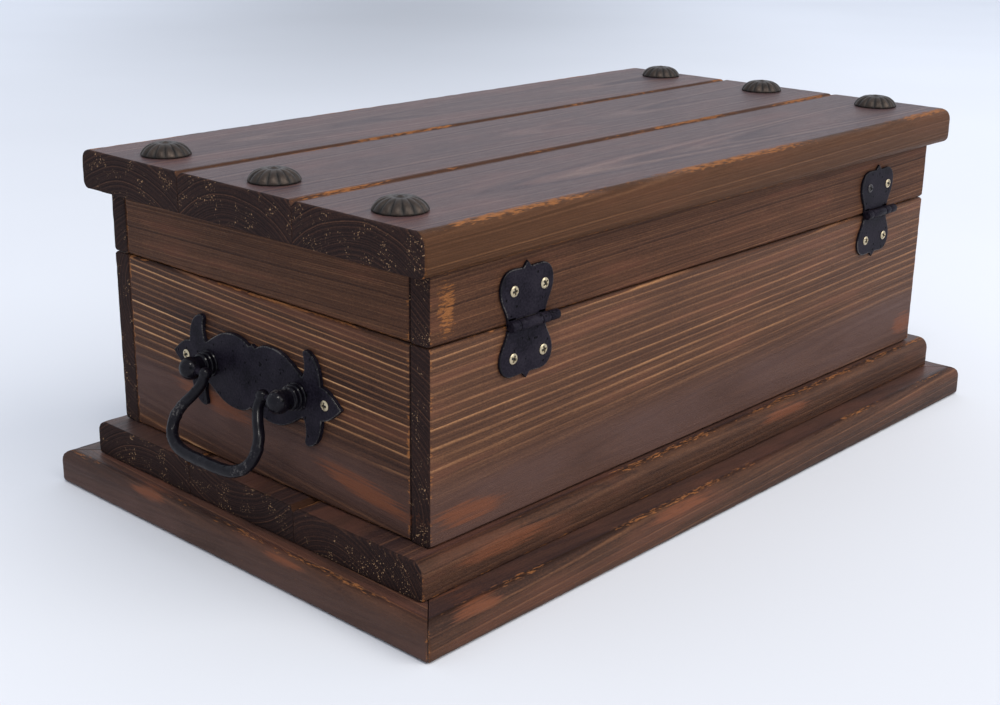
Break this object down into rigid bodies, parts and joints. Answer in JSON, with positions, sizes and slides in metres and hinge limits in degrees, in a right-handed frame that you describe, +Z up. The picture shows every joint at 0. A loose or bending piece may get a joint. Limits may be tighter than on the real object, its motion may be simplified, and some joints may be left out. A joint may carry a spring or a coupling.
{
  "type": "wooden chest",
  "caption": "Small rectangular wooden storage chest on a stepped plinth, with a shallow box lid on surface hinges at the back and a swinging bail handle on each end.",
  "frame": {"origin": "centre of the plinth's underside, where the chest stands", "axes": "+X along the length towards the right end, +Y towards the hinged back, +Z up; the plain front faces -Y"},
  "size_m": [0.4924, 0.28, 0.1879],
  "materials": {
    "wall_timber": "walnut-stained brushed softwood, satin, worn at the edges",
    "lid_timber": "walnut-stained brushed softwood, satin wax, worn orange at the edges",
    "floor_timber": "walnut-stained brushed softwood, satin",
    "plinth_timber": "walnut-stained brushed softwood, satin",
    "black_iron": "satin black lacquer over cast or pressed iron",
    "nail_bronze": "antique bronze wash over ribbed iron",
    "screw_brass": "pale brass plate, dark in the cross slot"
  },
  "bodies": {
    "body": {"plinth_back": "plinth_timber", "plinth_front": "plinth_timber", "plinth_left_end": "plinth_timber", "plinth_right_end": "plinth_timber", "floor_board_front": "floor_timber", "floor_board_middle": "floor_timber", "floor_board_back": "floor_timber", "wall_back": "wall_timber", "wall_front": "wall_timber", "wall_right_end": "wall_timber", "wall_left_end": "wall_timber", "hinge_right_body_leaf": "black_iron", "hinge_right_body_screw_right": "screw_brass", "hinge_right_body_screw_left": "screw_brass", "hinge_right_pin": "black_iron", "hinge_left_body_leaf": "black_iron", "hinge_left_body_screw_right": "screw_brass", "hinge_left_body_screw_left": "screw_brass", "hinge_left_pin": "black_iron", "handle_right_plate": "black_iron", "handle_right_post_front": "black_iron", "handle_right_screw_front": "screw_brass", "handle_right_post_back": "black_iron", "handle_right_screw_back": "screw_brass", "handle_left_plate": "black_iron", "handle_left_post_front": "black_iron", "handle_left_screw_front": "screw_brass", "handle_left_post_back": "black_iron", "handle_left_screw_back": "screw_brass"},
    "lid": {"lid_rail_back": "wall_timber", "lid_rail_front": "wall_timber", "lid_rail_right_end": "wall_timber", "lid_rail_left_end": "wall_timber", "lid_board_front": "lid_timber", "lid_board_middle": "lid_timber", "lid_board_back": "lid_timber", "lid_nail_right_front": "nail_bronze", "lid_nail_right_middle": "nail_bronze", "lid_nail_right_back": "nail_bronze", "lid_nail_left_front": "nail_bronze", "lid_nail_left_middle": "nail_bronze", "lid_nail_left_back": "nail_bronze", "hinge_right_lid_leaf": "black_iron", "hinge_right_lid_screw_right": "screw_brass", "hinge_right_lid_screw_left": "screw_brass", "hinge_left_lid_leaf": "black_iron", "hinge_left_lid_screw_right": "screw_brass", "hinge_left_lid_screw_left": "screw_brass"},
    "bail_right": {"handle_right_bail": "black_iron"},
    "bail_left": {"handle_left_bail": "black_iron"}
  },
  "joints": [
    {"name": "lid_hinge", "type": "hinge", "parent": "body", "child": "lid", "pos_m": [0, 0.1178, 0.128], "axis": [-1, 0, 0], "range_deg": [0, 174]},
    {"name": "bail_right_swing", "type": "hinge", "parent": "body", "child": "bail_right", "pos_m": [0.2246, -0.002, 0.0867], "axis": [0, -1, 0], "range_deg": [-43, 165]},
    {"name": "bail_left_swing", "type": "hinge", "parent": "body", "child": "bail_left", "pos_m": [-0.2246, -0.002, 0.0867], "axis": [0, 1, 0], "range_deg": [-43, 165]}
  ]
}
